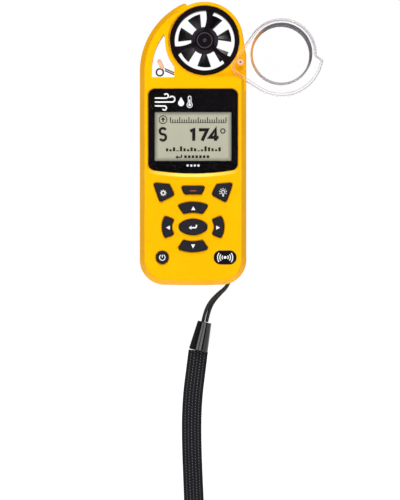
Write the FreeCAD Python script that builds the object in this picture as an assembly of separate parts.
import FreeCAD, Part
import math
import os

# Handheld weather meter, built from separate pieces.
# Millimetres. X to the right of the display, Y from the front towards the back, Z up.
# The origin is the mouth of the tripod socket in the middle of the back face.

V = FreeCAD.Vector

# Case
CASE_WIDTH = 47.2
CASE_DEPTH = 27.0
SOCKET_HEIGHT = 74.0          # tripod socket above the foot of the case
HALF = CASE_WIDTH / 2
FRONT = -CASE_DEPTH
BACK = 0.0
PARTING = -CASE_DEPTH / 2     # where the two shells meet
CORNER_RADIUS = 11.0
FOOT_RADIUS = 400.0           # the slight crown of the foot
EDGE_ROUND = 4.4              # round edges of the back
BEVEL_WIDTH = 2.2             # steep bevel round the front
BEVEL_DEPTH = 6.0
FRONT_ROUND = 0.5
HORN_RADIUS = 33.3
HORN_HEIGHT = 94.6            # where the left side starts to curve over the sensor window
HORN_THICK = 5.2
FAR = 60.0                    # longer than any part of the case, for cutting tools

# Head: the thinner part that holds the impeller and the pivot of the cover
HEAD_INSET = 3.4
HEAD_FRONT = FRONT + HEAD_INSET
HEAD_BACK = BACK - HEAD_INSET
HEAD_RADIUS = 17.1
HEAD_ROUND = 1.0
BORE_CHAMFER = 0.4
IMPELLER_X = 5.15
IMPELLER_HEIGHT = 108.5
RECESS_RADIUS = 16.4
HORN_TIP_ANGLE = 116.7
HORN_TIP_ROUND = 1.6
TIP_REACH = 22.0              # room in the horn's tip for the cover's tab
TIP_TURNS = (-6.0, 6.0, 18.0)
PIVOT_X = 21.0
PIVOT_HEIGHT = 98.8
LUG_HIGH = 102.0              # the lug that holds the cover's pivot
LUG_LOW = 86.0
SHOULDER_HEIGHT = 92.4
SHOULDER_END = 88.2           # where the shoulder's curve meets the right side
SHOULDER_WIDTH = 6.0

# Sensor window, between the horn and the head
SENSOR_LOW = 92.1
SENSOR_LEFT = -18.3
SENSOR_RIGHT = -8.35
SENSOR_RADIUS = 17.6          # its side that follows the head
SENSOR_CREST = 176.0          # where that side leaves the circle
SENSOR_APEX = 143.9           # its tip, as an angle round the horn's centre

# Inside of the shells
CAVITY_HALF = HALF - 2.6
CAVITY_FRONT = FRONT + 2.4
CAVITY_BACK = BACK - 2.0
CAVITY_LOW = 3.0
CAVITY_HIGH = 88.5
CAVITY_RADIUS = 8.5
SCREW_X = 18.0
SCREW_HEIGHTS = (22.0, 84.0)
BOSS_RADIUS = 2.6
SCREW_RADIUS = 1.0
SCREW_HEAD_RADIUS = 1.9
SCREW_HEAD_FRONT = -2.6
SCREW_HEAD_BACK = -0.9
SCREW_CROSS = (1.1, 0.22)     # half the length and width of each slot of the cross
SEAL_HALF = 22.0
SEAL_LOW = 1.75
SEAL_HIGH = 90.4
SEAL_WIDTH = 0.8
SEAL_RADIUS = 9.7
VENT_COUNT = 4
VENT_LEFT = -14.0
VENT_RIGHT = -8.0
VENT_LOW = 81.2
VENT_PITCH = 1.6
VENT_HEIGHT = 0.8
LEAD_HEIGHTS = (91.7, 94.7)   # hole for the temperature sensor's leads
LEAD_X = (-9.0, -5.0)

# Display
WINDOW_HALF = 19.8
WINDOW_TOP = 87.0
WINDOW_CORNER = 51.3          # height of the lower corners
WINDOW_LOW = 49.5             # height of the middle of the curved lower edge
WINDOW_RADIUS = 3.0
WINDOW_FRONT = FRONT + 0.5
WINDOW_THICK = 1.2
MASK_THICK = 0.3
RIM_WIDTH = 0.5               # the bevelled rim round the window
RIM_DROP = 1.1                # how much wider it is along the lower edge
RIM_DEPTH = 0.7
SCREEN_HALF = 17.0
SCREEN_LOW = 55.0
SCREEN_HIGH = 76.7
GLASS_THICK = 1.8
SCREEN_MARGIN = 1.0
GAP = 0.15

# Keys
KEY_TRAVEL = 0.8
KEY_PROUD = 0.9
KEY_LIP = 0.5
KEY_GAP = 0.2
KEY_ROUND = 0.35
KEY_CHAMFER = 0.4             # round each key's hole in the case
PAD_X = 0.0
PAD_HEIGHT = 25.8
PAD_OUTER = (13.7, 10.95)     # half axes of the ring of arrow keys
PAD_INNER = (9.5, 6.55)
SELECT_HALF = (6.2, 3.4)
ARROW_KEYS = {                # the angles where each arrow key starts and ends
    "key_up": (55, 125),
    "key_left": (159, 201),
    "key_right": (-21, 21),
    "key_down": (235, 305),
}
CORNER_KEY = [(-17.6, 45.3), (-10.5, 44.6), (-8.3, 40.1), (-14.6, 36.8)]
CAPTURE_KEY = [(-5.3, 43.8), (5.3, 43.8), (3.8, 40.4), (-3.8, 40.4)]
POWER_X = -13.6
POWER_RADIUS = 2.7
LOW_ROW = 12.3                # height of the power key and the badge
BADGE_X = 14.2
BADGE_HALF = (5.0, 3.05)
BADGE_DEPTH = 0.6
BADGE_PROUD = 0.2
LIP_FRONT = CAVITY_FRONT + 0.1
LIP_THICK = 0.8

# Circuit board
BOARD_FRONT = FRONT + 5.3
BOARD_THICK = 1.6
BOARD_BACK = BOARD_FRONT + BOARD_THICK
BOARD_HALF = 19.8
BOARD_LOW = 7.0
BOARD_HIGH = 87.5
MEMBRANE_THICK = 0.8
DOME_RADIUS = 2.0
DOME_RISE = 0.35
DOME_TOP = 1.1                # radius of its flat top
STEM_RADIUS = 1.2
STEM_GAP = 1.25               # from the end of a stem to the board

# Impeller and its housing
HOUSING_RADIUS = 15.35
HOUSING_BORE = 13.3
HOUSING_FRONT = HEAD_FRONT - 0.3
HOUSING_BACK = HEAD_BACK + 0.3
ARM_COUNT = 3
ARM_START = 79.5
ARM_THICK = 1.5
BOSS_CAP_RADIUS = 4.2
BOSS_CAP_DEPTH = 3.0
BLADE_COUNT = 7
BLADE_START = 269.0
BLADE_TIP = 11.8
HUB_RADIUS = 6.0
HUB_FRONT = HOUSING_FRONT + 3.7
HUB_BACK = HOUSING_BACK - 3.7
SHAFT_RADIUS = 0.5
BEARING_RADIUS = 1.6
BEARING_LENGTH = 1.4
MAGNET_RADIUS = 4.2
MAGNET_DEPTH = 2.4

# Cover
COVER_GAP = 1.1               # from the head to the inside of each plate
PLATE_THICK = 1.4
COVER_RADIUS = 15.6
RIM_RADIUS = 18.8
RIM_INNER = 17.5
TAIL_RADIUS = 4.1
TAIL_DROP = 1.9               # how far below the pivot the tail's round end is, when open
STEP_RADIUS = 13.6
STEP_WALL = 1.0
STEP_RISE = 0.8
CAP_THICK = 1.1               # the plate inside the step
PLATE_CHAMFER = 0.4
RIM_ALONG_TAIL = 0.4          # how far the rim runs on along the tail, as a share of its side
PLATE_FRONT = HEAD_FRONT - COVER_GAP - PLATE_THICK
PLATE_BACK = HEAD_BACK + COVER_GAP + PLATE_THICK
TAB_ANGLE = 127.6
RIM_START_ANGLE = 113.9
OPEN_ANGLE = -136.6
DETENT_REACH = 2.8            # from the pivot down to the bump that holds the cover
DETENT_RADIUS = 0.85
PIN_RADIUS = 1.2
RUNNING_GAP = 0.05
PRESS_GAP = 0.01

# Battery
CELL_RADIUS = 7.1
CELL_LENGTH = 50.0
CELL_LOW = 11.8
CELL_Y = -10.8
DOOR_HALF = 9.8
DOOR_LOW = 10.6
DOOR_HIGH = 68.0
DOOR_THICK = 1.8
DOOR_SCREW_HEIGHT = DOOR_HIGH - 2.8
HATCH_HALF = 7.6              # the hole behind the door
HATCH_LOW = 12.6
HATCH_HIGH = 62.2
DOOR_AXIS_HEIGHT = 9.2
DOOR_AXIS_Y = -0.95
KNUCKLE_RADIUS = 0.9
KNUCKLE_HALF = 5.8
DOOR_PIN_RADIUS = 0.45
DOOR_PIN_HALF = 7.8
DOOR_SCREW_RADIUS = 2.2
DOOR_SHANK_RADIUS = 1.4
DOOR_HEAD_DEPTH = 0.95
GRIP_COUNT = 5                # finger grooves across the door
GRIP_HALF = 5.0
GRIP_LOW = 18.0
GRIP_PITCH = 2.4
GRIP_HEIGHT = 0.9
TRAY_HALF = 9.2
TRAY_BORE = 7.4
TRAY_SPARE_LOW = 2.4          # room for the spring
TRAY_SPARE_HIGH = 3.2         # room for the button's contact
TRAY_WALL = 1.0
CONTACT_HALF = 4.5
CONTACT_THICK = 0.4

# Tripod socket, a quarter inch thread
SOCKET_RADIUS = 3.175
SOCKET_DEPTH = 6.0
SOCKET_OUTER = 4.6

# Lanyard
LOOP_Y = -6.5
LOOP_HEIGHT = 6.5
LANYARD_PIN_RADIUS = 1.1
LANYARD_PIN_LEFT = 13.0
LANYARD_PIN_LENGTH = 8.6
SLOT_LEFT = 14.4
SLOT_RIGHT = 20.0
SLOT_HALF = 3.1               # half its depth, and the radius of its arched end
SLOT_ARCH_HEIGHT = 8.0
CORD_DIAMETER = 1.5
STRAP_WIDTH = 8.7
STRAP_THICK = 1.5
FERRULE_TOP_RADIUS = 3.1
FERRULE_LOW_RADIUS = 4.3


def up(height):
    """A height above the foot of the case, as a Z coordinate."""
    return height - SOCKET_HEIGHT


IMPELLER = (IMPELLER_X, up(IMPELLER_HEIGHT))
PIVOT = (PIVOT_X, up(PIVOT_HEIGHT))
PAD = (PAD_X, up(PAD_HEIGHT))
HORN_CENTRE = (HORN_RADIUS - HALF, up(HORN_HEIGHT))

# The lanyard's routes, as points chosen by hand.
CORD_ROUTE = [
    (4.3, -6.9, up(-16.4)), (5.3, -7.1, up(-11.9)), (7.4, -7.5, up(-7.6)), (11.0, -7.9, up(-3.8)),
    (15.0, -8.2, up(-0.8)), (17.2, -8.4, up(4.4)), (17.2, -8.4, up(8.4)), (17.2, -4.6, up(8.4)),
    (17.2, -4.6, up(4.4)), (15.2, -4.9, up(-0.8)), (11.6, -5.5, up(-4.3)), (8.6, -6.1, up(-8.0)),
    (6.9, -6.6, up(-12.1)), (6.0, -6.9, up(-16.4)),
]
STRAP_ROUTE = [
    (2.3, -8.0, up(-29.2)), (1.2, -8.6, up(-38.0)), (-0.1, -9.5, up(-48.0)), (-0.7, -9.9, up(-59.0)),
    (-0.6, -10.1, up(-72.0)), (0.0, -10.0, up(-87.0)), (0.6, -10.6, up(-103.0)),
    (0.8, -12.2, up(-120.0)), (0.6, -14.9, up(-135.0)), (0.4, -16.8, up(-147.0)),
    (0.2, -15.8, up(-158.0)), (0.0, -11.2, up(-165.5)), (0.0, -3.2, up(-166.5)),
    (0.0, 2.6, up(-159.5)), (0.2, 4.0, up(-148.5)), (0.4, 1.9, up(-136.0)), (0.7, -1.2, up(-121.0)),
    (0.8, -3.1, up(-104.0)), (0.0, -3.7, up(-87.5)), (-0.6, -3.5, up(-72.5)), (-0.7, -3.9, up(-59.5)),
    (-0.1, -4.2, up(-48.5)), (1.2, -5.1, up(-38.2)), (2.3, -5.9, up(-29.2)),
]


def around(centre, radius, degrees):
    """The point (x, z) at an angle on a circle, counted from +X towards +Z."""
    angle = math.radians(degrees)
    return (centre[0] + radius * math.cos(angle), centre[1] + radius * math.sin(angle))


def on_ellipse(centre, half_axes, degrees):
    """The point (x, z) of an ellipse that lies in a direction from its centre."""
    angle = math.radians(degrees)
    reach = 1 / math.hypot(math.cos(angle) / half_axes[0], math.sin(angle) / half_axes[1])
    return (centre[0] + reach * math.cos(angle), centre[1] + reach * math.sin(angle))


# The middle of the round end of the cover's tail, with the cover closed.
TAIL = around(PIVOT, TAIL_DROP, 270 - OPEN_ANGLE)
TAIL_DIRECTION = math.degrees(math.atan2(TAIL[1] - IMPELLER[1], TAIL[0] - IMPELLER[0]))


def at(place, y):
    return V(place[0], y, place[1])


def line(start, end, y):
    return Part.LineSegment(at(start, y), at(end, y)).toShape()


def through(start, middle, end, y):
    return Part.Arc(at(start, y), at(middle, y), at(end, y)).toShape()


def arc(centre, radius, start, end, y):
    middle = (start + end) / 2
    ends = [around(centre, radius, degrees) for degrees in (start, middle, end)]
    return through(ends[0], ends[1], ends[2], y)


def slab(edges, front, back):
    """A closed outline drawn at the front, extruded to the back."""
    return Part.Face(Part.Wire(Part.__sortEdges__(edges))).extrude(V(0, back - front, 0))


def polygon(corners, front, back):
    return slab([line(a, b, front) for a, b in zip(corners, corners[1:] + corners[:1])], front, back)


def disc(centre, radius, front, back):
    return Part.makeCylinder(radius, back - front, at(centre, front), V(0, 1, 0))


def ring(centre, outer, inner, front, back):
    return disc(centre, outer, front, back).cut(disc(centre, inner, front - 1, back + 1))


def block(left, right, front, back, low, high):
    return Part.makeBox(right - left, back - front, high - low, V(left, front, low))


def across(solid):
    """The edges of a solid that run from front to back."""
    return [edge for edge in solid.Edges if abs(edge.tangentAt(edge.FirstParameter).y) > 0.99]


def edges_at(solid, y):
    """The edges of a solid that lie in the plane of one Y."""
    return [edge for edge in solid.Edges
            if abs(edge.BoundBox.YMin - y) < 1e-4 and abs(edge.BoundBox.YMax - y) < 1e-4]


def rounded_block(left, right, front, back, low, high, radius):
    solid = block(left, right, front, back, low, high)
    return solid.makeFillet(radius, across(solid))


def widened(solid, amount, front, back):
    """The outline of a solid's front face, moved out by an amount and extruded."""
    face = min(solid.Faces, key=lambda each: each.CenterOfMass.y)
    grown = face.makeOffset2D(amount)
    grown.translate(V(0, front - face.BoundBox.YMin, 0))
    return grown.extrude(V(0, back - front, 0))


def sliced(solid, front, back):
    """The part of a solid between two values of Y."""
    return solid.common(block(-2 * FAR, 2 * FAR, front, back, -4 * FAR, 2 * FAR))


def joined(solids):
    first, rest = solids[0], solids[1:]
    return first.multiFuse(rest).removeSplitter() if rest else first


# ---- case ----------------------------------------------------------------------------------

def body_outline(y):
    """The case's outline with its left side curved over, before the head is cut."""
    corner_x = HALF - CORNER_RADIUS
    reach = FOOT_RADIUS - CORNER_RADIUS
    corner_z = up(FOOT_RADIUS - math.sqrt(reach ** 2 - corner_x ** 2))
    lean = math.degrees(math.asin(corner_x / reach))
    shoulder_radius = 2 * HALF - HORN_RADIUS
    shoulder_centre = (HORN_CENTRE[0], HORN_CENTRE[1] + HORN_RADIUS - shoulder_radius)
    left, right = (-corner_x, corner_z), (corner_x, corner_z)
    return [
        arc((0, up(FOOT_RADIUS)), FOOT_RADIUS, 270 - lean, 270 + lean, y),
        arc(right, CORNER_RADIUS, 270 + lean, 360, y),
        line((HALF, corner_z), (HALF, shoulder_centre[1]), y),
        arc(shoulder_centre, shoulder_radius, 0, 90, y),
        arc(HORN_CENTRE, HORN_RADIUS, 90, 180, y),
        line((-HALF, up(HORN_HEIGHT)), (-HALF, corner_z), y),
        arc(left, CORNER_RADIUS, 180, 270 - lean, y),
    ]


def front_wire(solid):
    """The outline of a solid's front face."""
    return min(solid.Faces, key=lambda each: each.CenterOfMass.y).OuterWire


def body_block():
    """The body in one piece: a steep bevel round its front and round edges behind."""
    rear = slab(body_outline(FRONT + BEVEL_DEPTH), FRONT + BEVEL_DEPTH, BACK)
    wide = front_wire(rear)
    narrow = Part.Face(wide).makeOffset2D(-BEVEL_WIDTH)
    narrow.translate(V(0, -BEVEL_DEPTH, 0))
    front = Part.makeLoft([narrow.Wires[0], wide], True, True)
    front = front.makeFillet(FRONT_ROUND, edges_at(front, FRONT))
    return joined([front, rear.makeFillet(EDGE_ROUND, edges_at(rear, BACK))])


def head_solid():
    """The ring round the impeller with the lug for the cover's pivot."""
    side = [around(IMPELLER, HEAD_RADIUS, 5), (HALF, up(LUG_HIGH)), (HALF, up(LUG_LOW)),
            (IMPELLER_X, up(LUG_LOW)), IMPELLER]
    lug = polygon(side, HEAD_FRONT, HEAD_BACK)
    solid = joined([disc(IMPELLER, HEAD_RADIUS, HEAD_FRONT, HEAD_BACK), lug])
    rims = edges_at(solid, HEAD_FRONT) + edges_at(solid, HEAD_BACK)
    above = [edge for edge in rims if edge.BoundBox.ZMax > up(SHOULDER_HEIGHT + 0.6)]
    return solid.makeFillet(HEAD_ROUND, [edge for edge in above if edge.BoundBox.XMax > IMPELLER_X + 1])


def head_recess(front, back):
    """What the cover's plates swing through: taken off the case in front of and behind the head."""
    corners = [around(IMPELLER, TIP_REACH, HORN_TIP_ANGLE + turn) for turn in TIP_TURNS]
    tip = polygon([IMPELLER] + corners, front, back)
    return joined([disc(IMPELLER, RECESS_RADIUS, front, back), tip])


def horn_tip():
    """The arc that rounds the horn's tip, as three points from its end face to its outer side."""
    along = V(*around((0, 0), 1, HORN_TIP_ANGLE))
    aside = V(*around((0, 0), 1, HORN_TIP_ANGLE + 90))
    off = (V(*IMPELLER) - V(*HORN_CENTRE)).dot(aside) + HORN_TIP_ROUND
    reach = math.sqrt((HORN_RADIUS - HORN_TIP_ROUND) ** 2 - off ** 2)
    inward = along * reach + aside * off
    centre = (HORN_CENTRE[0] + inward.x, HORN_CENTRE[1] + inward.y)
    first, last = HORN_TIP_ANGLE - 90, math.degrees(math.atan2(inward.y, inward.x))
    return [around(centre, HORN_TIP_ROUND, degrees) for degrees in (first, (first + last) / 2, last)]


def above_shoulder():
    """Everything over the shoulder and to the right of the horn's rounded tip."""
    y = FRONT - 1
    level = up(SHOULDER_HEIGHT)
    end = up(SHOULDER_END)
    start, middle, finish = horn_tip()
    beyond = (finish[0], 2 * FAR)
    outside = [(HALF + 1, end), (FAR, end), (FAR, 2 * FAR), beyond, finish]
    inside = [start, IMPELLER, (IMPELLER_X, level), (HALF - SHOULDER_WIDTH, level)]
    edges = [line(a, b, y) for run in (outside, inside) for a, b in zip(run, run[1:])]
    edges.append(through(start, middle, finish, y))
    bend = (HALF - 0.28 * SHOULDER_WIDTH, level - 0.36 * (level - end))
    edges.append(through(inside[-1], bend, outside[0], y))
    return slab(edges, y, BACK + 1)


def sensor_window():
    """The opening that goes right through the case under the horn."""
    y = FRONT - 1
    inner = HORN_RADIUS - HORN_THICK
    low = up(SENSOR_LOW)
    corner_angle = math.degrees(math.acos((SENSOR_LEFT - HORN_CENTRE[0]) / inner))
    bend_angle = 360 - math.degrees(math.acos((SENSOR_RIGHT - IMPELLER_X) / SENSOR_RADIUS))
    corner = around(HORN_CENTRE, inner, corner_angle)
    apex = around(HORN_CENTRE, inner, SENSOR_APEX)
    bend = around(IMPELLER, SENSOR_RADIUS, bend_angle)
    crest = around(IMPELLER, SENSOR_RADIUS, SENSOR_CREST)
    edges = [
        line((SENSOR_LEFT, low), (SENSOR_RIGHT, low), y),
        line((SENSOR_RIGHT, low), bend, y),
        arc(IMPELLER, SENSOR_RADIUS, bend_angle, SENSOR_CREST, y),
        line(crest, apex, y),
        arc(HORN_CENTRE, inner, SENSOR_APEX, corner_angle, y),
        line(corner, (SENSOR_LEFT, low), y),
    ]
    return slab(edges, y, BACK + 1)


def housing_bore():
    """The hole for the impeller's housing, chamfered at both faces of the head."""
    bore = disc(IMPELLER, HOUSING_RADIUS + RUNNING_GAP, FRONT - 1, BACK + 1)
    wide = HOUSING_RADIUS + RUNNING_GAP + BORE_CHAMFER
    ends = [Part.makeCone(wide, wide - BORE_CHAMFER, BORE_CHAMFER, at(IMPELLER, face), V(0, inward, 0))
            for face, inward in ((HEAD_FRONT, 1), (HEAD_BACK, -1))]
    return joined([bore] + ends)


def case_block():
    """The outside of the whole case, before it is hollowed and split."""
    outer = body_block().cut(above_shoulder())
    outer = outer.cut(head_recess(FRONT - 1, HEAD_FRONT))
    outer = outer.cut(head_recess(HEAD_BACK, BACK + 1))
    outer = joined([outer, head_solid()])
    return outer.cut(housing_bore()).cut(sensor_window())


def cavity():
    return rounded_block(-CAVITY_HALF, CAVITY_HALF, CAVITY_FRONT, CAVITY_BACK,
                         up(CAVITY_LOW), up(CAVITY_HIGH), CAVITY_RADIUS)


def bosses(front, back):
    return [disc((side * SCREW_X, up(height)), BOSS_RADIUS, front, back)
            for side in (-1, 1) for height in SCREW_HEIGHTS]


def screw_places():
    return [(side * SCREW_X, up(height)) for side in (-1, 1) for height in SCREW_HEIGHTS]


def cover_pin_hole():
    return disc(PIVOT, PIN_RADIUS + PRESS_GAP, FRONT - 1, BACK + 1)


def lead_hole():
    """The hole that the temperature sensor's leads go through into the case."""
    low, high = LEAD_HEIGHTS
    return block(*LEAD_X, PARTING - 1.0, PARTING + 1.0, up(low), up(high))


def detent_bump(face, direction):
    """A low round bump under the cover's plate, which a hole in the plate drops over."""
    centre = V(PIVOT_X, face - direction * 0.2, PIVOT[1] - DETENT_REACH)
    return Part.makeSphere(DETENT_RADIUS, centre)


def key_countersink(outline):
    """A shallow funnel that breaks the case's edge round a key."""
    floor = FRONT + KEY_CHAMFER
    funnel = widened(outline, KEY_GAP + KEY_CHAMFER, FRONT - 1, floor)
    return funnel.makeChamfer(KEY_CHAMFER - 0.02, edges_at(funnel, floor))


def front_shell():
    shell = sliced(case_block(), FRONT - 1, PARTING).cut(cavity())
    shell = joined([shell] + bosses(CAVITY_FRONT - 0.5, PARTING))
    y = FRONT - 1
    shell = shell.cut(window_outline(GAP, y, WINDOW_FRONT + WINDOW_THICK + MASK_THICK)).cut(window_rim())
    shell = shell.cut(screen_block(SCREEN_MARGIN + GAP, y, CAVITY_FRONT + 1))
    for outline in key_outlines().values():
        shell = shell.cut(widened(outline, KEY_GAP, y, CAVITY_FRONT + 1)).cut(key_countersink(outline))
    shell = shell.cut(badge_solid(GAP, y, FRONT + BADGE_DEPTH))
    for place in screw_places():
        shell = shell.cut(disc(place, SCREW_RADIUS + PRESS_GAP, CAVITY_FRONT + 2, PARTING + 1))
    shell = shell.cut(cover_pin_hole()).cut(lead_hole())
    return joined([shell, detent_bump(HEAD_FRONT, -1)])


def rear_shell():
    shell = sliced(case_block(), PARTING, BACK + 1).cut(cavity())
    lanyard_corner = block(12.6, HALF, -12.0, CAVITY_BACK + 0.5, up(0), up(13.4)).common(case_block())
    frame = block(-DOOR_HALF - 1.6, DOOR_HALF + 1.6, CAVITY_BACK - 1.6, CAVITY_BACK + 0.5,
                  up(CAVITY_LOW - 1), up(DOOR_HIGH + 2.0))
    socket_post = disc((0, 0), SOCKET_OUTER + 1.8, -SOCKET_DEPTH - 1.5, CAVITY_BACK + 0.5)
    shell = joined([shell, lanyard_corner, frame, socket_post] + bosses(PARTING, CAVITY_BACK + 0.5))
    shell = shell.cut(seal_loop(GAP / 3, PARTING - 1, PARTING + 0.8))
    shell = shell.cut(door_opening()).cut(lanyard_slot())
    shell = shell.cut(disc((0, 0), SOCKET_OUTER, -SOCKET_DEPTH, BACK + 1))
    for place in screw_places():
        shell = shell.cut(disc(place, SCREW_RADIUS + 0.1, PARTING - 1, BACK + 1))
        shell = shell.cut(disc(place, SCREW_HEAD_RADIUS + 0.2, SCREW_HEAD_FRONT, BACK + 1))
    for row in range(VENT_COUNT):
        low = up(VENT_LOW + VENT_PITCH * row)
        shell = shell.cut(rounded_block(VENT_LEFT, VENT_RIGHT, CAVITY_BACK - 1, BACK + 1,
                                        low, low + VENT_HEIGHT, VENT_HEIGHT / 2 - 0.01))
    return shell.cut(cover_pin_hole()).cut(lead_hole())


def seal_loop(spare, front, back):
    """The loop that seals the two shells. Its groove is the same loop with some room to spare."""
    loops = []
    for inset, reach in ((0.0, spare), (SEAL_WIDTH, -spare)):
        half = SEAL_HALF - inset + reach
        loops.append(rounded_block(-half, half, front - inset, back + inset,
                                   up(SEAL_LOW + inset - reach), up(SEAL_HIGH - inset + reach),
                                   SEAL_RADIUS - inset))
    return loops[0].cut(loops[1])


def case_screw(place):
    """A cross-headed screw."""
    shank = disc(place, SCREW_RADIUS, CAVITY_FRONT + 4, SCREW_HEAD_FRONT + 0.1)
    head = disc(place, SCREW_HEAD_RADIUS, SCREW_HEAD_FRONT, SCREW_HEAD_BACK)
    x, z = place
    long, short = SCREW_CROSS
    slots = [block(x - wide, x + wide, SCREW_HEAD_BACK - 0.8, BACK, z - tall, z + tall)
             for wide, tall in ((long, short), (short, long))]
    return joined([shank, head]).cut(joined(slots))


# ---- display -------------------------------------------------------------------------------

def window_outline(spare, front, back, drop=0.0):
    """The window's outline: straight sides and top, and a curved lower edge that may be dropped."""
    half, top = WINDOW_HALF + spare, up(WINDOW_TOP) + spare
    corner, low = up(WINDOW_CORNER) - spare - drop, up(WINDOW_LOW) - spare - drop
    edges = [
        line((-half, corner), (-half, top), front),
        line((-half, top), (half, top), front),
        line((half, top), (half, corner), front),
        through((half, corner), (0, low), (-half, corner), front),
    ]
    solid = slab(edges, front, back)
    return solid.makeFillet(WINDOW_RADIUS, across(solid))


def window_rim():
    """A bevelled rim cut round the window, widest along its lower edge."""
    wide = front_wire(window_outline(RIM_WIDTH, FRONT - 0.01, BACK, RIM_DROP))
    narrow = front_wire(window_outline(GAP, FRONT + RIM_DEPTH, BACK))
    return Part.makeLoft([wide, narrow], True, True)


def screen_block(margin, front, back):
    return rounded_block(-SCREEN_HALF - margin, SCREEN_HALF + margin, front, back,
                         up(SCREEN_LOW - margin), up(SCREEN_HIGH + margin), 0.5)


def display_window():
    solid = window_outline(0, WINDOW_FRONT, WINDOW_FRONT + WINDOW_THICK)
    return solid.makeChamfer(0.25, edges_at(solid, WINDOW_FRONT))


def window_mask():
    front = WINDOW_FRONT + WINDOW_THICK
    return window_outline(0, front, front + MASK_THICK).cut(screen_block(0, front - 1, front + 1))


def display_glass():
    front = WINDOW_FRONT + WINDOW_THICK + MASK_THICK
    return screen_block(SCREEN_MARGIN, front, front + GLASS_THICK)


def backlight_panel():
    front = WINDOW_FRONT + WINDOW_THICK + MASK_THICK + GLASS_THICK
    return screen_block(SCREEN_MARGIN - 0.2, front, BOARD_FRONT)


# ---- keys ----------------------------------------------------------------------------------

def ring_key(start, end):
    """A key cut from the elliptical ring round the select key."""
    front = FRONT - KEY_PROUD
    middle = (start + end) / 2
    outer = [on_ellipse(PAD, PAD_OUTER, degrees) for degrees in (start, middle, end)]
    inner = [on_ellipse(PAD, PAD_INNER, degrees) for degrees in (start, middle, end)]
    edges = [
        through(outer[0], outer[1], outer[2], front),
        line(outer[2], inner[2], front),
        through(inner[2], inner[1], inner[0], front),
        line(inner[0], outer[0], front),
    ]
    return slab(edges, front, LIP_FRONT)


def select_key():
    """An oval of four tangent arcs: two round its ends, and two flatter ones between them."""
    wide, tall = SELECT_HALF
    end_radius = 1.1 * tall * tall / wide
    side_radius = (wide * wide + tall * tall - 2 * wide * end_radius) / (2 * (tall - end_radius))
    reach = wide - end_radius
    drop = side_radius - tall
    lean = math.degrees(math.atan2(drop, reach))
    front = FRONT - KEY_PROUD
    x, z = PAD
    edges = [
        arc((x + reach, z), end_radius, -lean, lean, front),
        arc((x, z - drop), side_radius, lean, 180 - lean, front),
        arc((x - reach, z), end_radius, 180 - lean, 180 + lean, front),
        arc((x, z + drop), side_radius, 180 + lean, 360 - lean, front),
    ]
    return slab(edges, front, LIP_FRONT)


def corner_key(side):
    """The four-cornered key at the upper left or, mirrored, at the upper right."""
    return polygon([(side * x, up(height)) for x, height in CORNER_KEY], FRONT - KEY_PROUD, LIP_FRONT)


def capture_key():
    return polygon([(x, up(height)) for x, height in CAPTURE_KEY], FRONT - KEY_PROUD, LIP_FRONT)


def key_outlines():
    """Each key's cap, from its proud front to the inside of the case, with rounded corners."""
    caps = {
        "key_settings": (corner_key(1), 0.8),
        "key_backlight": (corner_key(-1), 0.8),
        "key_capture": (capture_key(), 0.7),
    }
    for name, (start, end) in ARROW_KEYS.items():
        caps[name] = (ring_key(start, end), 0.6)
    outlines = {name: cap.makeFillet(radius, across(cap)) for name, (cap, radius) in caps.items()}
    outlines["key_select"] = select_key()
    outlines["key_power"] = disc((POWER_X, up(LOW_ROW)), POWER_RADIUS, FRONT - KEY_PROUD, LIP_FRONT)
    return outlines


def middle_of(outline):
    centre = outline.Solids[0].CenterOfMass
    return (centre.x, centre.z)


def key_solid(outline):
    """A cap with a lip that keeps it in the case and a stem that reaches for its dome."""
    lip_back = LIP_FRONT + LIP_THICK
    lip = widened(outline, KEY_LIP, LIP_FRONT, lip_back)
    stem = disc(middle_of(outline), STEM_RADIUS, lip_back, BOARD_FRONT - STEM_GAP)
    cap = outline.makeFillet(KEY_ROUND, edges_at(outline, FRONT - KEY_PROUD))
    return joined([cap, lip, stem])


def key_domes():
    """Nine snap domes on the board, one under each key."""
    domes = []
    for outline in key_outlines().values():
        place = middle_of(outline)
        domes.append(Part.makeCone(DOME_RADIUS, DOME_TOP, DOME_RISE, at(place, BOARD_FRONT), V(0, -1, 0)))
    return Part.makeCompound(domes)


def keypad_membrane():
    sheet = rounded_block(-17.6, 17.6, BOARD_FRONT - MEMBRANE_THICK, BOARD_FRONT, up(8.6), up(47.0), 3.0)
    for outline in key_outlines().values():
        sheet = sheet.cut(disc(middle_of(outline), DOME_RADIUS + 0.4, BOARD_FRONT - 2, BOARD_FRONT + 1))
    for place in screw_places():
        sheet = sheet.cut(disc(place, BOSS_RADIUS + 0.4, BOARD_FRONT - 2, BOARD_FRONT + 1))
    return sheet


def badge_solid(spare, front, back):
    wide, tall = BADGE_HALF[0] + spare, BADGE_HALF[1] + spare
    level = up(LOW_ROW)
    return rounded_block(BADGE_X - wide, BADGE_X + wide, front, back, level - tall, level + tall, tall - 0.05)


def wireless_badge():
    front = FRONT - BADGE_PROUD
    solid = badge_solid(0, front, FRONT + BADGE_DEPTH)
    return solid.makeFillet(0.15, edges_at(solid, front))


# ---- electronics ---------------------------------------------------------------------------

def circuit_board():
    board = rounded_block(-BOARD_HALF, BOARD_HALF, BOARD_FRONT, BOARD_BACK,
                          up(BOARD_LOW), up(BOARD_HIGH), 5.0)
    for place in screw_places():
        board = board.cut(disc(place, BOSS_RADIUS + 0.4, BOARD_FRONT - 1, BOARD_BACK + 1))
    return board


def module(left, right, low, high, thick):
    """A part soldered to the back of the board."""
    return block(left, right, BOARD_BACK, BOARD_BACK + thick, up(low), up(high))


def radio_module():
    solid = module(9.5, 17.5, 58.0, 70.0, 2.0)
    return solid.makeFillet(0.6, across(solid))


def compass_module():
    return module(-16.5, -12.5, 62.0, 66.0, 1.2)


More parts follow.
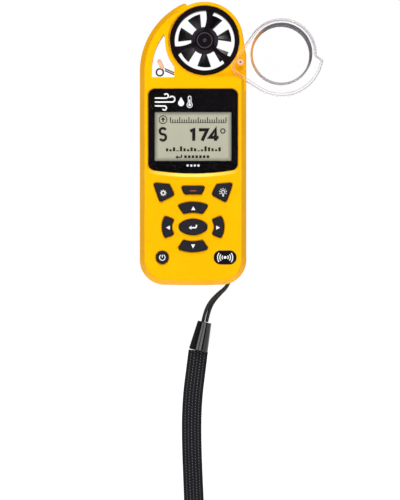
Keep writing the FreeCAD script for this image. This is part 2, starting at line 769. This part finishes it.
def pressure_sensor():
    place = (-14.5, up(72.0))
    can = disc(place, 2.2, BOARD_BACK, BOARD_BACK + 1.8)
    port = disc(place, 0.5, BOARD_BACK + 1.2, BOARD_BACK + 3)
    return can.cut(port)


def humidity_sensor():
    solid = module(-13.0, -9.0, 81.6, 85.6, 1.4)
    port = disc((-11.0, up(83.6)), 0.8, BOARD_BACK + 0.8, BOARD_BACK + 3)
    return solid.cut(port)


# ---- battery -------------------------------------------------------------------------------

def battery_tray():
    """An open trough for the cell, with room at its ends for the contacts."""
    low = up(CELL_LOW - TRAY_SPARE_LOW)
    high = up(CELL_LOW + CELL_LENGTH + TRAY_SPARE_HIGH)
    outer = block(-TRAY_HALF, TRAY_HALF, CELL_Y - TRAY_HALF + 1.0, CAVITY_BACK - 1.7,
                  low - TRAY_WALL, high + TRAY_WALL)
    inner = block(-TRAY_BORE, TRAY_BORE, CELL_Y, BACK, low, high)
    trough = Part.makeCylinder(TRAY_BORE, high - low, V(0, CELL_Y, low), V(0, 0, 1))
    return outer.cut(inner).cut(trough)


def battery_cell():
    can = Part.makeCylinder(CELL_RADIUS, CELL_LENGTH, V(0, CELL_Y, up(CELL_LOW)), V(0, 0, 1))
    ends = [edge for edge in can.Edges if edge.Curve.TypeId == "Part::GeomCircle"]
    can = can.makeFillet(0.6, ends)
    button = Part.makeCylinder(2.7, 1.2, V(0, CELL_Y, up(CELL_LOW + CELL_LENGTH)), V(0, 0, 1))
    return joined([can, button])


def contact_plate(low):
    return block(-CONTACT_HALF, CONTACT_HALF, CELL_Y - CONTACT_HALF + 0.5, CELL_Y + CONTACT_HALF - 0.5,
                 low, low + CONTACT_THICK)


def button_contact():
    """A plate with a bump that presses on the cell's button."""
    plate_low = up(CELL_LOW + CELL_LENGTH + TRAY_SPARE_HIGH) - CONTACT_THICK
    bump = Part.makeCone(2.2, 1.6, 1.6, V(0, CELL_Y, plate_low), V(0, 0, -1))
    return joined([contact_plate(plate_low), bump])


def spring_contact():
    """A coil spring on a plate, pressed by the flat end of the cell."""
    low = up(CELL_LOW - TRAY_SPARE_LOW)
    pitch, length, radius, wire = 0.62, 1.3, 2.6, 0.25
    coil_low = low + CONTACT_THICK + 0.1
    helix = Part.makeHelix(pitch, length, radius)
    helix.translate(V(0, CELL_Y, coil_low))
    profile = Part.Wire([Part.makeCircle(wire, V(radius, CELL_Y, coil_low), V(0, 1, 0))])
    coil = Part.Wire(helix).makePipeShell([profile], True, True)
    return Part.makeCompound([contact_plate(low), coil])


def on_door_axis(radius, half):
    """A rod along the axis that the battery door turns about."""
    return Part.makeCylinder(radius, 2 * half, V(-half, DOOR_AXIS_Y, up(DOOR_AXIS_HEIGHT)), V(1, 0, 0))


def door_opening():
    """A seat for the door, the hole behind it, and room for its knuckle and pin."""
    seat = rounded_block(-DOOR_HALF - GAP, DOOR_HALF + GAP, -DOOR_THICK - 0.1, BACK + 1,
                         up(DOOR_LOW - 0.4), up(DOOR_HIGH + GAP), 1.5)
    hatch = rounded_block(-HATCH_HALF, HATCH_HALF, -FAR / 4, BACK + 1, up(HATCH_LOW), up(HATCH_HIGH), 1.0)
    knuckle_half = KNUCKLE_HALF + 0.4
    knuckle_room = block(-knuckle_half, knuckle_half, -DOOR_THICK - 0.4, BACK + 1,
                         up(DOOR_AXIS_HEIGHT - KNUCKLE_RADIUS - 0.3), up(DOOR_LOW))
    pin = on_door_axis(DOOR_PIN_RADIUS, DOOR_PIN_HALF + 0.2)
    screw_hole = disc((0, up(DOOR_SCREW_HEIGHT)), DOOR_SHANK_RADIUS + 0.55, -FAR / 4, BACK)
    return joined([seat, hatch, knuckle_room, pin, seal_ring(GAP / 3)]).fuse(screw_hole)


def battery_door():
    """A panel with a hinge knuckle at its foot, a seat for its screw, and finger grooves."""
    panel = rounded_block(-DOOR_HALF, DOOR_HALF, -DOOR_THICK, BACK, up(DOOR_LOW), up(DOOR_HIGH), 1.4)
    web = block(-KNUCKLE_HALF, KNUCKLE_HALF, DOOR_AXIS_Y - 0.5, DOOR_AXIS_Y + 0.5,
                up(DOOR_AXIS_HEIGHT), up(DOOR_LOW + 0.2))
    door = joined([panel, on_door_axis(KNUCKLE_RADIUS, KNUCKLE_HALF), web])
    door = door.cut(on_door_axis(DOOR_PIN_RADIUS + RUNNING_GAP, DOOR_HALF))
    place = (0, up(DOOR_SCREW_HEIGHT))
    door = door.cut(disc(place, DOOR_SCREW_RADIUS + RUNNING_GAP, -DOOR_HEAD_DEPTH - RUNNING_GAP, BACK + 1))
    door = door.cut(disc(place, DOOR_SHANK_RADIUS + RUNNING_GAP, -FAR, BACK + 1))
    for row in range(GRIP_COUNT):
        low = up(GRIP_LOW + GRIP_PITCH * row)
        door = door.cut(rounded_block(-GRIP_HALF, GRIP_HALF, -0.35, BACK + 1, low, low + GRIP_HEIGHT, 0.4))
    return door


def door_pin():
    return on_door_axis(DOOR_PIN_RADIUS, DOOR_PIN_HALF)


def door_screw():
    """A captive screw with a slot for a coin."""
    place = (0, up(DOOR_SCREW_HEIGHT))
    head = disc(place, DOOR_SCREW_RADIUS, -DOOR_HEAD_DEPTH, -0.1)
    shank = disc(place, DOOR_SHANK_RADIUS, CAVITY_BACK - 1.5, -DOOR_HEAD_DEPTH)
    slot = block(-2.5, 2.5, -0.55, BACK, place[1] - 0.3, place[1] + 0.3)
    return joined([head, shank]).cut(slot)


def seal_ring(spare):
    """A loop round the hatch, just behind the door's seat."""
    back = -DOOR_THICK - 0.1
    outer, inner = 1.3 + spare, 0.5 - spare
    loop = rounded_block(-HATCH_HALF - outer, HATCH_HALF + outer, back - 0.6 - spare, back,
                         up(HATCH_LOW - outer), up(HATCH_HIGH + outer), 1.6)
    middle = rounded_block(-HATCH_HALF - inner, HATCH_HALF + inner, back - 2, back + 1,
                           up(HATCH_LOW - inner), up(HATCH_HIGH + inner), 1.0)
    return loop.cut(middle)


# ---- tripod socket and lanyard fittings ----------------------------------------------------

def tripod_insert():
    sleeve = disc((0, 0), SOCKET_OUTER, -SOCKET_DEPTH, BACK)
    return sleeve.cut(disc((0, 0), SOCKET_RADIUS, -SOCKET_DEPTH - 1, BACK + 1))


def lanyard_slot():
    """A slot with an arched end, open at the foot of the case, and the hole for its pin."""
    slot = block(SLOT_LEFT, SLOT_RIGHT, LOOP_Y - SLOT_HALF, LOOP_Y + SLOT_HALF,
                 up(-2), up(SLOT_ARCH_HEIGHT + 0.8))
    arch = Part.makeCylinder(SLOT_HALF, SLOT_RIGHT - SLOT_LEFT, V(SLOT_LEFT, LOOP_Y, up(SLOT_ARCH_HEIGHT)),
                             V(1, 0, 0))
    return joined([slot, arch]).fuse(lanyard_pin(0.1))


def lanyard_pin(spare=0.0):
    """The pin that the cord is looped round, or its hole with room to spare at each end."""
    start = V(LANYARD_PIN_LEFT - spare, LOOP_Y, up(LOOP_HEIGHT))
    return Part.makeCylinder(LANYARD_PIN_RADIUS, LANYARD_PIN_LENGTH + 2 * spare, start, V(1, 0, 0))


def ferrule():
    """The tapered barrel that joins the thin cord to the flat strap."""
    top, bottom = V(5.15, -6.9, up(-16.4)), V(2.3, -6.95, up(-29.2))
    along = top - bottom
    barrel = Part.makeCone(FERRULE_LOW_RADIUS, FERRULE_TOP_RADIUS, along.Length, bottom, along)
    rims = [edge for edge in barrel.Edges if edge.Curve.TypeId == "Part::GeomCircle"]
    return barrel.makeFillet(0.35, rims)


# ---- impeller ------------------------------------------------------------------------------

def housing_arm(angle, front, back):
    """An arm from the ring to the boss, narrowest between them."""
    sides = {}
    for side in (-1, 1):
        sides[side] = (around(IMPELLER, HOUSING_BORE + 0.5, angle + side * 8.5),
                       around(IMPELLER, 9.2, angle + side * 5.5),
                       around(IMPELLER, BOSS_CAP_RADIUS - 0.6, angle + side * 28))
    left, right = sides[1], sides[-1]
    edges = [
        through(*left, front),
        line(left[2], right[2], front),
        through(*right, front),
        line(right[0], left[0], front),
    ]
    return slab(edges, front, back)


def between(start, end):
    return (min(start, end), max(start, end))


def impeller_housing(face):
    """Half of the housing: a ring, a boss for the bearing, and three arms between them."""
    inward = 1 if face < PARTING else -1
    boss_end = face + inward * BOSS_CAP_DEPTH
    rim = ring(IMPELLER, HOUSING_RADIUS, HOUSING_BORE, *between(face, PARTING))
    boss = disc(IMPELLER, BOSS_CAP_RADIUS, *between(face, boss_end))
    pieces = [solid.makeFillet(0.5, edges_at(solid, face)) for solid in (rim, boss)]
    arm_span = between(face + inward * 0.5, face + inward * (0.5 + ARM_THICK))
    for index in range(ARM_COUNT):
        pieces.append(housing_arm(ARM_START + index * 360 / ARM_COUNT, *arm_span))
    half = joined(pieces)
    pocket = disc(IMPELLER, BEARING_RADIUS, *between(boss_end, boss_end - inward * BEARING_LENGTH))
    tip_room = disc(IMPELLER, 0.8, *between(boss_end, boss_end - inward * (BEARING_LENGTH + 0.6)))
    return half.cut(pocket).cut(tip_room)


def bearing(face):
    """A jewel bearing in the pocket at the inner end of a boss."""
    inward = 1 if face < PARTING else -1
    boss_end = face + inward * BOSS_CAP_DEPTH
    span = between(boss_end, boss_end - inward * BEARING_LENGTH)
    return ring(IMPELLER, BEARING_RADIUS, SHAFT_RADIUS + RUNNING_GAP, *span)


def blade(angle):
    """A pitched blade: a fan-shaped plate set at a slope, trimmed to the tip circle."""
    depth = HUB_BACK - HUB_FRONT - 1.0
    middle = (HUB_FRONT + HUB_BACK) / 2
    root_half, tip_half = 0.4, 3.2
    sections = []
    for reach, half in ((HUB_RADIUS - 0.8, root_half), (BLADE_TIP + 1.0, tip_half)):
        corners = [V(reach, -depth / 2, -half - 0.4), V(reach, -depth / 2, -half + 0.4),
                   V(reach, depth / 2, half + 0.4), V(reach, depth / 2, half - 0.4)]
        sections.append(Part.makePolygon(corners + corners[:1]))
    plate = Part.makeLoft(sections, True, True)
    plate.rotate(V(0, 0, 0), V(0, 1, 0), -angle)
    plate.translate(V(IMPELLER[0], middle, IMPELLER[1]))
    return plate.common(disc(IMPELLER, BLADE_TIP, HUB_FRONT, HUB_BACK))


def impeller():
    hub = disc(IMPELLER, HUB_RADIUS, HUB_FRONT, HUB_BACK)
    hub = hub.makeFillet(0.6, edges_at(hub, HUB_FRONT) + edges_at(hub, HUB_BACK))
    blades = [blade(BLADE_START + index * 360 / BLADE_COUNT) for index in range(BLADE_COUNT)]
    wheel = joined([hub] + blades)
    wheel = wheel.cut(disc(IMPELLER, SHAFT_RADIUS, HUB_FRONT - 1, HUB_BACK + 1))
    return wheel.cut(disc(IMPELLER, MAGNET_RADIUS, HUB_BACK - MAGNET_DEPTH, HUB_BACK + 1))


def impeller_magnet():
    return ring(IMPELLER, MAGNET_RADIUS, SHAFT_RADIUS, HUB_BACK - MAGNET_DEPTH, HUB_BACK - 0.6)


def impeller_shaft():
    inset = BOSS_CAP_DEPTH - BEARING_LENGTH
    return disc(IMPELLER, SHAFT_RADIUS, HOUSING_FRONT + inset - 0.3, HOUSING_BACK - inset + 0.3)


# ---- sensor --------------------------------------------------------------------------------

LOOP_CENTRE = (-14.75, up(94.5))
LOOP_RADIUS = 1.55
LOOP_WIRE = 0.36
LEAD_RADIUS = 0.27
LEAD_SPACING = 0.84
BEAD_RADIUS = 0.9


def thermistor_bead():
    """A rounded bead that leans away from its leads."""
    low, high = V(-13.7, PARTING, up(96.6)), V(-15.0, PARTING, up(99.4))
    body = Part.makeCylinder(BEAD_RADIUS, (high - low).Length, low, high - low)
    return joined([body, Part.makeSphere(BEAD_RADIUS, low), Part.makeSphere(BEAD_RADIUS, high)])


def thermistor_loop():
    """A ring of wire with a short neck that runs up into the bead."""
    ring_wire = Part.makeTorus(LOOP_RADIUS, LOOP_WIRE, at(LOOP_CENTRE, PARTING), V(0, 1, 0))
    neck = Part.makeCylinder(0.5, 0.9, V(-13.85, PARTING, up(95.4)), V(0.15, 0, 0.7))
    return joined([ring_wire, neck]).cut(thermistor_bead())


def thermistor_leads():
    leads = []
    for shift in (-LEAD_SPACING / 2, LEAD_SPACING / 2):
        start = V(-12.6, PARTING, up(95.7) + shift)
        end = V(-5.6, PARTING, up(92.7) + shift)
        leads.append(Part.makeCylinder(LEAD_RADIUS, (end - start).Length, start, end - start))
    return Part.makeCompound([lead.cut(thermistor_bead()) for lead in leads])


# ---- cover ---------------------------------------------------------------------------------

def tangent_lean(radius):
    """How far the tangent from a circle round the impeller to the cover's tail leans."""
    return math.degrees(math.acos((radius - TAIL_RADIUS) / math.dist(TAIL, IMPELLER)))


def cover_plate(outside, inside):
    """One plate of the closed cover: a disc, a wider rim on one side, and a tail to the pivot."""
    front, back = between(outside, inside)
    outer = TAIL_DIRECTION + tangent_lean(RIM_RADIUS)
    inner = TAIL_DIRECTION - tangent_lean(COVER_RADIUS)
    small_end = around(IMPELLER, COVER_RADIUS, TAB_ANGLE + 6)
    big_end = around(IMPELLER, RIM_RADIUS, TAB_ANGLE)
    edges = [
        arc(IMPELLER, RIM_RADIUS, outer, TAB_ANGLE, front),
        line(big_end, small_end, front),
        arc(IMPELLER, COVER_RADIUS, TAB_ANGLE + 6, 360 + inner, front),
        line(around(IMPELLER, COVER_RADIUS, inner), around(TAIL, TAIL_RADIUS, inner), front),
        arc(TAIL, TAIL_RADIUS, inner, outer, front),
        line(around(TAIL, TAIL_RADIUS, outer), around(IMPELLER, RIM_RADIUS, outer), front),
    ]
    plate = slab(edges, front, back)
    plate = plate.makeChamfer(PLATE_CHAMFER, edges_at(plate, outside))
    plate = plate.cut(disc(PIVOT, PIN_RADIUS + RUNNING_GAP, front - 1, back + 1))
    for turn in (0, -OPEN_ANGLE):
        hole = disc(around(PIVOT, DETENT_REACH, 270 + turn), DETENT_RADIUS + 0.1, front - 1, back + 1)
        plate = plate.cut(hole)
    return plate


def cover_rim(front, back):
    """The wall that joins the two plates outside the case."""
    outer = TAIL_DIRECTION + tangent_lean(RIM_RADIUS)
    thick = RIM_RADIUS - RIM_INNER
    big, tail = around(IMPELLER, RIM_RADIUS, outer), around(TAIL, TAIL_RADIUS, outer)
    end = tuple(a + (b - a) * RIM_ALONG_TAIL for a, b in zip(big, tail))
    inner_end = around(end, thick, outer + 180)
    edges = [
        arc(IMPELLER, RIM_RADIUS, outer, RIM_START_ANGLE, front),
        line(around(IMPELLER, RIM_RADIUS, RIM_START_ANGLE),
             around(IMPELLER, RIM_INNER, RIM_START_ANGLE), front),
        arc(IMPELLER, RIM_INNER, outer, RIM_START_ANGLE, front),
        line(around(IMPELLER, RIM_INNER, outer), inner_end, front),
        line(inner_end, end, front),
        line(end, big, front),
    ]
    return slab(edges, front, back)


def stepped_plate(outside, outward):
    """A plate whose middle stands out by a step, as one side of the closed cover."""
    inside = outside - outward * PLATE_THICK
    raised = outside + outward * STEP_RISE
    plate = cover_plate(outside, inside)
    step = disc(IMPELLER, STEP_RADIUS, *between(raised, inside))
    hollow = disc(IMPELLER, STEP_RADIUS - STEP_WALL, *between(raised - outward * CAP_THICK, inside))
    return joined([plate, step]).cut(hollow)


def flip_cover():
    """Two stepped plates joined by a rim, modelled closed and then swung open."""
    rim = cover_rim(PLATE_FRONT + PLATE_CHAMFER + 0.1, PLATE_BACK - PLATE_CHAMFER - 0.1)
    cover = joined([rim, stepped_plate(PLATE_FRONT, -1), stepped_plate(PLATE_BACK, 1)])
    cover.rotate(at(PIVOT, 0), V(0, 1, 0), -OPEN_ANGLE)
    return cover


def cover_pin():
    shank = disc(PIVOT, PIN_RADIUS, PLATE_FRONT - 0.1, PLATE_BACK + 0.5)
    head = disc(PIVOT, 1.7, PLATE_FRONT - 0.5, PLATE_FRONT - 0.08)
    head = head.makeFillet(0.25, edges_at(head, PLATE_FRONT - 0.5))
    return joined([shank, head])


def pin_clip():
    return ring(PIVOT, 1.9, PIN_RADIUS, PLATE_BACK + 0.08, PLATE_BACK + 0.5)


# ---- lanyard -------------------------------------------------------------------------------

def soft_path(points, label):
    """Straight runs joined by tangent arcs, each arc as large as its two runs allow."""
    places = [V(*point) for point in points]
    edges, tightest, last = [], 1e9, places[0]
    for before, here, after in zip(places, places[1:], places[2:]):
        run_in, run_out = here - before, after - here
        turn = run_in.getAngle(run_out)
        cut_back = 0.45 * min(run_in.Length, run_out.Length)
        radius = cut_back / math.tan(turn / 2)
        tightest = min(tightest, radius)
        inward, outward = V(run_in).normalize(), V(run_out).normalize()
        start, end = here - inward * cut_back, here + outward * cut_back
        bisector = (outward - inward).normalize()
        middle = here + bisector * (radius / math.cos(turn / 2) - radius)
        edges.append(Part.LineSegment(last, start).toShape())
        edges.append(Part.Arc(start, middle, end).toShape())
        last = end
    edges.append(Part.LineSegment(last, places[-1]).toShape())
    path = Part.Wire(edges)
    print(f"{label}: length {path.Length:.1f}, tightest radius {tightest:.1f}")
    return path


def lanyard_cord():
    path = soft_path(CORD_ROUTE, "cord")
    start, ahead = V(*CORD_ROUTE[0]), V(*CORD_ROUTE[1])
    profile = Part.Wire([Part.makeCircle(CORD_DIAMETER / 2, start, ahead - start)])
    tube = path.makePipeShell([profile], True, False)
    section = math.pi * CORD_DIAMETER ** 2 / 4
    print(f"cord: volume {tube.Volume:.1f}, section times length {section * path.Length:.1f}")
    return tube


def lanyard_strap():
    """The flat strap's loop, whose width stays along X."""
    path = soft_path(STRAP_ROUTE, "strap")
    start, ahead = V(*STRAP_ROUTE[0]), V(*STRAP_ROUTE[1])
    along = (ahead - start).normalize()
    wide = (V(1, 0, 0) - along * along.x).normalize()
    thin = along.cross(wide)
    corners = [start + wide * (a * STRAP_WIDTH / 2) + thin * (b * STRAP_THICK / 2)
               for a, b in ((-1, -1), (1, -1), (1, 1), (-1, 1))]
    shell = Part.BRepOffsetAPI.MakePipeShell(path)
    shell.setBiNormalMode(V(1, 0, 0))
    shell.add(Part.makePolygon(corners + corners[:1]))
    shell.build()
    shell.makeSolid()
    strap = shell.shape()
    section = STRAP_WIDTH * STRAP_THICK
    print(f"strap: volume {strap.Volume:.0f}, section times length {section * path.Length:.0f}")
    return strap


def all_nodes():
    nodes = {
        "front_shell": front_shell(),
        "rear_shell": rear_shell(),
        "case_seal": seal_loop(0, PARTING, PARTING + 0.75),
        "case_screws": Part.makeCompound([case_screw(place) for place in screw_places()]),
        "display_window": display_window(),
        "window_mask": window_mask(),
        "display_glass": display_glass(),
        "backlight_panel": backlight_panel(),
        "keypad_membrane": keypad_membrane(),
        "key_domes": key_domes(),
        "wireless_badge": wireless_badge(),
        "circuit_board": circuit_board(),
        "radio_module": radio_module(),
        "compass_module": compass_module(),
        "pressure_sensor": pressure_sensor(),
        "humidity_sensor": humidity_sensor(),
        "battery_tray": battery_tray(),
        "battery_cell": battery_cell(),
        "button_contact": button_contact(),
        "spring_contact": spring_contact(),
        "battery_door": battery_door(),
        "door_pin": door_pin(),
        "door_screw": door_screw(),
        "door_seal": seal_ring(0),
        "tripod_insert": tripod_insert(),
        "lanyard_pin": lanyard_pin(),
        "impeller_housing_front": impeller_housing(HOUSING_FRONT),
        "impeller_housing_rear": impeller_housing(HOUSING_BACK),
        "front_bearing": bearing(HOUSING_FRONT),
        "rear_bearing": bearing(HOUSING_BACK),
        "impeller": impeller(),
        "impeller_shaft": impeller_shaft(),
        "impeller_magnet": impeller_magnet(),
        "thermistor_bead": thermistor_bead(),
        "thermistor_loop": thermistor_loop(),
        "thermistor_leads": thermistor_leads(),
        "flip_cover": flip_cover(),
        "cover_pin": cover_pin(),
        "pin_clip": pin_clip(),
        "lanyard_cord": lanyard_cord(),
        "lanyard_ferrule": ferrule(),
        "lanyard_strap": lanyard_strap(),
    }
    for name, outline in key_outlines().items():
        nodes[name] = key_solid(outline)
    return nodes


def main():
    os.makedirs("parts", exist_ok=True)
    for name, shape in all_nodes().items():
        shape.exportStep(f"parts/{name}.step")
        box = shape.BoundBox
        print(f"{name}: {len(shape.Solids)} solid(s), valid {shape.isValid()}, volume {shape.Volume:.1f}, "
              f"{box.XLength:.1f} x {box.YLength:.1f} x {box.ZLength:.1f}")


main()
